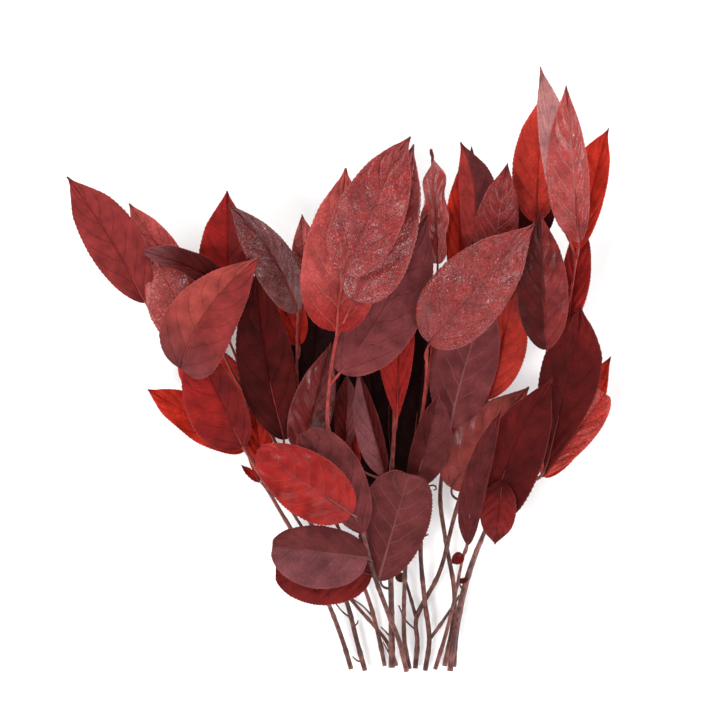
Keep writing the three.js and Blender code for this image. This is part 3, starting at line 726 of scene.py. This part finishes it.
def make_blade(tree, shape, order, number, sides):
    """One leaf blade in its place."""
    x, y, z, length = leaf_axes(shape)
    finish = shape["finish"]
    upper = sides["waxed" if finish["gloss"] > 0.5 else "satin"]
    near, far = (sides["under"], upper) if shape["under"] else (upper, sides["under"])
    dyes = {place: finish[place] or finish["left"] for place in ("left", "right", "tip", "base")}
    dyes["far"] = "clear_red" if shape["under"] else "mauve"
    values = {
        "Length": length * MM, "Left Half": shape["halves"][0] * MM, "Right Half": shape["halves"][1] * MM,
        "Fold": math.radians(shape["fold"]), "Twist": math.radians(shape["twist"]),
        **{name: shape[name.lower()] * MM for name in ("Bow", "Sweep", "Wave", "Curl", "Hook")},
        **{name: float(shape[name.lower()]) for name in ("Full", "Sharp", "Drip")},
        "Phase": (order * GOLDEN) % 1, "Sense": -1.0 if shape["under"] else 1.0, "Number": float(number),
        "Base": (shape["base"] - MIDDLE) * MM, "Heading": tuple(Matrix((x, y, z)).transposed().to_euler()),
        "Finish": (finish["gloss"], finish["net"], finish["vein"]), "Glow": float(finish["glow"]),
        **{f"{place.title()} Dye": linear(DYES[dye]) for place, dye in dyes.items()},
        **{f"{place} Share": float(finish[place.lower()] is not None) for place in ("Tip", "Base")},
        "Near Side": near, "Far Side": far, **BLADE,
    }
    return run_tree(tree, bpy.data.meshes.new("blade"), values)


def path_data(points):
    """A curve through points in millimetres of the table's frame."""
    data = bpy.data.curves.new("path", "CURVE")
    data.dimensions = "3D"
    spline = data.splines.new("POLY")
    spline.points.add(len(points) - 1)
    for spot, place in zip(spline.points, points):
        spot.co = (*((Vector(place) - MIDDLE) * MM), 1)
    return data


def stalk_path(shape, twigs, samples=60):
    """From the nearest twig, a little below the leaf, into the blade along its midrib."""
    best = None
    base = np.array(shape["base"])
    for one in twigs:
        for i in range(samples + 1):
            place, length = point_at(one["line"], i / samples)
            gap = np.linalg.norm(place - base)
            if best is None or gap < best[0]:
                best = (gap, one["line"], i / samples, length)
    _, line, share, length = best
    root = Vector(point_at(line, max(0, share - shape["lag"] / length))[0])
    end = midrib_point(shape, STALK_IN_BLADE)
    bend = midrib_point(shape, 0).lerp(end, STALK_BEND)
    curve = [root.lerp(bend, t).lerp(bend.lerp(end, t), t) for t in np.linspace(0, 1, 14)]
    return curve + [midrib_point(shape, u) for u in STALK_ALONG]


def offshoot_path(shoot, twigs):
    """An offshoot's line in space: it leaves the twig that is nearest in plan and rises a little."""
    start = np.array(shoot["places"][0])
    spots = np.vstack([one["line"] for one in twigs])
    height = spots[np.argmin(np.linalg.norm(spots[:, :2] - start, axis=1)), 2]
    count = len(shoot["places"]) - 1
    places = [(*place, height + shoot["rise"] * i / count) for i, place in enumerate(shoot["places"])]
    return smooth_line(places, samples=6)


def make_wood(tree, parts, number, bark, cut):
    """The wood of one stem: its twigs, its offshoots and the stalks of its leaves."""
    twigs = parts["twigs"]
    bars = []
    for one in twigs:
        radii = {"Thick": one["thick"] * TWIG_SHARE * MM, "Thin": one["thin"] * TWIG_SHARE * MM}
        bars.append((one["line"], {**TWIG, **radii}))
    bars += [(offshoot_path(shoot, twigs), OFFSHOOT) for shoot in parts["offshoots"]]
    bars += [(stalk_path(shape, twigs), STALK) for shape in parts["leaves"].values()]
    shared = {"Bark": bark, "Cut End": cut, "Seed": number}
    return [run_tree(tree, path_data(line), {**values, **shared}) for line, values in bars]


def new_material(name):
    """An empty material and its tree."""
    material = bpy.data.materials.new(name)
    material.use_nodes = True
    material.node_tree.nodes.clear()
    return material, material.node_tree


# In this pattern the middles of the net's cells are painted a little lighter, a painted glint.
LEAF_PATTERN = """
    reach = absolute(v)
    length = x_mm / maximum(u, 0.02)
    place = u - lean * reach - arch * reach ** 3 + stagger * sign(v) + 0.07 * (drift - 0.5)
    from_side_vein = absolute(fract(place * pairs + 0.5) - 0.5) / pairs * length
    side_vein = (1 - smooth(from_side_vein, 0.12, 0.7)) * (1 - smooth(reach, 0.7, 1))
    rib = 1 - smooth(absolute(y_mm) + 0.5 * u, 0.15, 0.85)
    veins = maximum(rib, 0.8 * side_vein)
    wide_line = 1 - smooth(wide, 0.02, 0.15)
    fine_line = 1 - smooth(fine, 0.0, 0.22)
    net_lines = net * maximum(wide_line * 0.9, fine_line * 0.5) * (0.2 + 1.2 * drift)
    pale = maximum(rib, 0.6 * side_vein ** 2) * maximum(vein, 0)
    dark = maximum(veins * maximum(0 - vein, 0), net_lines * 0.65)
    patches = 1.25 * mottle + 1.05 * drift - 0.15
    shade = patches + 0.3 * (grain - 0.5) - 0.12 * net * (domes - 0.35)
    rim = 0.15 * smooth(reach, 0.95, 1)
"""
LEAF_COLOUR = """
    colour = blend(dark, dyed, dark_vein)
    colour = blend(pale, colour, pale_vein)
    colour = blend(rim, colour, leaf_rim)
"""
UNDERSIDE_SURFACE = """
    height = veins * 1.2 + net * 0.5 * wide_line + 0.3 * grain
    rough = 0.62 + 0.1 * grain
"""
UPPER_SURFACE = """
    height = 0.0 - veins * 0.9 - net_lines * 0.8 - net * domes * 0.8 + 0.9 * mottle + 0.25 * grain
    crackle = 0.0 - net_lines * 0.7 - net * domes * 0.35 + mottle
    rough = 0.6 - 0.25 * gloss + 0.12 * (grain - 0.5)
    wax = maximum(gloss - 0.35, 0)
"""


def leaf_fields(tree):
    """The known names of a leaf's formulas: what its blade keeps, and the patterns on it."""
    kept = {name: add_node(tree, "ShaderNodeAttribute", {"attribute_name": name}) for name in KEPT_ON_BLADE}
    share, size, finish = (
        add_node(tree, "ShaderNodeSeparateXYZ", links={0: kept[name].outputs["Vector"]}).outputs
        for name in ("leaf_share", "leaf_mm", "finish"))
    known = {
        "u": share[0], "v": share[1], "x_mm": size[0], "y_mm": size[1], "gloss": finish[0], "net": finish[1],
        "vein": finish[2], "glow": kept["glow"].outputs["Fac"], "dye": kept["dye"].outputs["Color"], **VEINS,
    }
    # A leaf's number is the third of its places, so each leaf shows another part of the patterns.
    spread = add_node(tree, "ShaderNodeVectorMath", {"operation": "MULTIPLY"}, {
        0: kept["leaf_mm"].outputs["Vector"], 1: (1, 1, 7.3)})
    for name, (density, detail) in LEAF_NOISES.items():
        known[name] = add_node(tree, "ShaderNodeTexNoise", links={
            "Vector": spread, "Scale": density, "Detail": detail})
    for name, (feature, cell) in NET_CELLS.items():
        known[name] = add_node(tree, "ShaderNodeTexVoronoi", {"feature": feature}, {
            "Vector": spread, "Scale": 1 / cell})
    return known


def leaf_material(name, shine, under=False):
    """One side of a preserved salal leaf, which drank glycerine and dye and so stays leathery.

    The dye took in patches. Its net of veins is drawn darker and the middles of the cells a little lighter,
    a painted glint. The upper side sinks in along its veins and keeps its natural wax, and the underside is
    matte with raised veins.
    """
    material, tree = new_material(name)
    known = leaf_fields(tree)
    formulas(tree, known, LEAF_PATTERN)
    formulas(tree, known, UNDERSIDE_SURFACE if under else UPPER_SURFACE)
    shade = add_node(tree, "ShaderNodeCombineColor", links={i: known["shade"] for i in range(3)})
    dyed = add_node(tree, "ShaderNodeMix", {"data_type": "RGBA", "blend_type": "MULTIPLY"}, {
        0: 1.0, 6: known["dye"], 7: shade})
    known.update(dyed=dyed.outputs[2], dark_vein=linear(DARK_VEIN), leaf_rim=linear(LEAF_RIM),
                 pale_vein=linear(PALE_VEIN_BELOW if under else PALE_VEIN))
    formulas(tree, known, LEAF_COLOUR)
    bump = add_node(tree, "ShaderNodeBump", links={
        "Height": known["height"], "Distance": 0.35 * MM, "Strength": 1.0})
    body = add_node(tree, "ShaderNodeBsdfPrincipled", links={
        "Base Color": known["colour"], "Roughness": known["rough"], "Normal": bump, "IOR": 1.45,
        "Specular IOR Level": shine})
    if not under:
        # The coat of wax is thin, and the net only just shows through it.
        crackle = add_node(tree, "ShaderNodeBump", links={
            "Height": known["crackle"], "Distance": 0.16 * MM, "Strength": 1.0})
        tree.links.new(known["wax"].outputs[0], body.inputs["Coat Weight"])
        tree.links.new(crackle.outputs[0], body.inputs["Coat Normal"])
        body.inputs["Coat Roughness"].default_value = 0.2
    through = add_node(tree, "ShaderNodeBsdfTranslucent", links={"Color": known["colour"]})
    mixed = add_node(tree, "ShaderNodeMixShader", links={0: known["glow"], 1: body, 2: through})
    add_node(tree, "ShaderNodeOutputMaterial", links={0: mixed})
    return material


def bark_material():
    """Salal bark as it grew, dyed with the leaves: smooth and reddish on young wood, browner lower down."""
    material, tree = new_material("dyed salal bark")
    around, along = (add_node(tree, "ShaderNodeAttribute", {"attribute_name": name}).outputs["Fac"]
                     for name in ("bark_round", "bark_along"))
    place = add_node(tree, "ShaderNodeTexCoord").outputs["Object"]
    spot = add_node(tree, "ShaderNodeSeparateXYZ", links={0: place})
    known = {"around": around, "along": along, "spot_y": spot.outputs[1], "tau": math.tau}
    known.update({name: linear(code) for name, code in BARK.items()})
    # The streaks are about 4 mm long and half a millimetre wide, and the patches 17 mm. The sine closes the
    # streaks round the twig.
    formulas(tree, known, "skin = vector(sine(around * tau) * 3, along * 0.25, 0)")
    known["streaks"] = add_node(tree, "ShaderNodeTexNoise", links={
        "Vector": known["skin"], "Scale": 1.0, "Detail": 4.0})
    known["patches"] = add_node(tree, "ShaderNodeTexNoise", links={
        "Vector": place, "Scale": 60.0, "Detail": 3.0})
    formulas(tree, known, """
        young = smooth(spot_y, 0 - 0.09, 0.0)
        light = smooth(streaks * 0.6 + patches * 0.4, 0.42, 0.62)
        rough = 0.35 + 0.2 * streaks
        colour = blend(young, blend(light, old_dark, old_pale), blend(light, young_dark, young_pale))
    """)
    bump = add_node(tree, "ShaderNodeBump", links={
        "Height": known["streaks"], "Distance": 0.15 * MM, "Strength": 0.8})
    body = add_node(tree, "ShaderNodeBsdfPrincipled", links={
        "Base Color": known["colour"], "Roughness": known["rough"], "Normal": bump,
        "Specular IOR Level": 0.25})
    add_node(tree, "ShaderNodeOutputMaterial", links={0: body})
    return material


def two_tone_material(name, colours, density, surface):
    """A surface whose colour drifts between two tones, with this many drifts to the metre."""
    material, tree = new_material(name)
    place = add_node(tree, "ShaderNodeTexCoord").outputs["Object"]
    noise = add_node(tree, "ShaderNodeTexNoise", links={"Vector": place, "Scale": density, "Detail": 3.0})
    known = {"noise": noise, "first": linear(colours[0]), "second": linear(colours[1])}
    formulas(tree, known, "colour = blend(noise, first, second)")
    body = add_node(tree, "ShaderNodeBsdfPrincipled", links={"Base Color": known["colour"], **surface})
    add_node(tree, "ShaderNodeOutputMaterial", links={0: body})
    return material


def cut_material():
    """Salal wood cut across with shears: pale and dull, with an open grain of 0.7 mm."""
    return two_tone_material("cut salal wood", CUT_WOOD, 1500.0, {"Roughness": 0.8})


def table_material():
    """A pale table painted with a roller: matte, and nearly even over its drifts of 33 mm."""
    surface = {"Roughness": 0.9, "Specular IOR Level": 0.1}
    return two_tone_material("pale painted table", TABLE_PAINT, 30.0, surface)


def make_table():
    """The pale table that the bunch lies on."""
    data = bpy.data.meshes.new("table")
    corners = ((-1, -1), (1, -1), (1, 1), (-1, 1))
    spots = [(x * TABLE_REACH, y * TABLE_REACH, TABLE_LEVEL) for x, y in corners]
    data.from_pydata(spots, [], [(0, 1, 2, 3)])
    data.materials.append(table_material())
    table = bpy.data.objects.new("table", data)
    bpy.context.collection.objects.link(table)


def make_lights():
    """Soft boxes, and pale walls all round under a dark ceiling, so that the dye stays deep."""
    for name, (place, width, power) in LAMPS.items():
        lamp = bpy.data.lights.new(name, "AREA")
        lamp.size = width
        lamp.energy = power
        box = bpy.data.objects.new(name, lamp)
        box.location = place
        box.rotation_euler = (LAMP_AIM - Vector(place)).to_track_quat("-Z", "Y").to_euler()
        bpy.context.collection.objects.link(box)
    world = bpy.data.worlds.new("studio")
    world.use_nodes = True
    tree = world.node_tree
    direction = add_node(tree, "ShaderNodeSeparateXYZ", links={
        0: add_node(tree, "ShaderNodeTexCoord").outputs["Generated"]})
    known = {"height": direction.outputs[2], **STUDIO}
    formulas(tree, known, "strength = walls - fall * smooth(height, 0.2, 0.65)")
    sky = tree.nodes["Background"]
    tree.links.new(known["strength"].outputs[0], sky.inputs["Strength"])
    sky.inputs["Color"].default_value = (1, 1, 1, 1)
    bpy.context.scene.world = world
    bpy.context.scene.view_settings.view_transform = "Standard"


def make_camera():
    """The camera, which looks straight down."""
    lens = bpy.data.cameras.new("camera")
    lens.lens = CAMERA_LENS
    lens.sensor_width = CAMERA_SENSOR
    lens.clip_end = CAMERA_FAR
    camera = bpy.data.objects.new("camera", lens)
    camera.location = CAMERA_PLACE
    bpy.context.collection.objects.link(camera)
    bpy.context.scene.camera = camera


def make_bunch():
    """All the stems, each as a piece of leaves and a piece of wood that stand for its solid."""
    blade_rule, wood_rule = blade_tree(), wood_tree()
    sides = {"satin": leaf_material("dyed salal leaf, satin upper side", 0.07),
             "waxed": leaf_material("dyed salal leaf, waxed upper side", 0.16),
             "under": leaf_material("dyed salal leaf, underside", 0.06, under=True)}
    bark, cut = bark_material(), cut_material()
    number = 0
    for name, parts in STEMS.items():
        blades = []
        for order, shape in enumerate(parts["leaves"].values()):
            number += 1
            blades.append(make_blade(blade_rule, shape, order, number, sides))
        leaves = joined(name.replace("stem", "leaves"), blades)
        wood = joined(name.replace("stem", "wood"), make_wood(wood_rule, parts, number, bark, cut))
        for piece, slot in ((leaves, "dyed_leaf"), (wood, "dyed_bark")):
            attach(piece, "root")
            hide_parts(name)


make_bunch()
make_table()
make_lights()
make_camera()
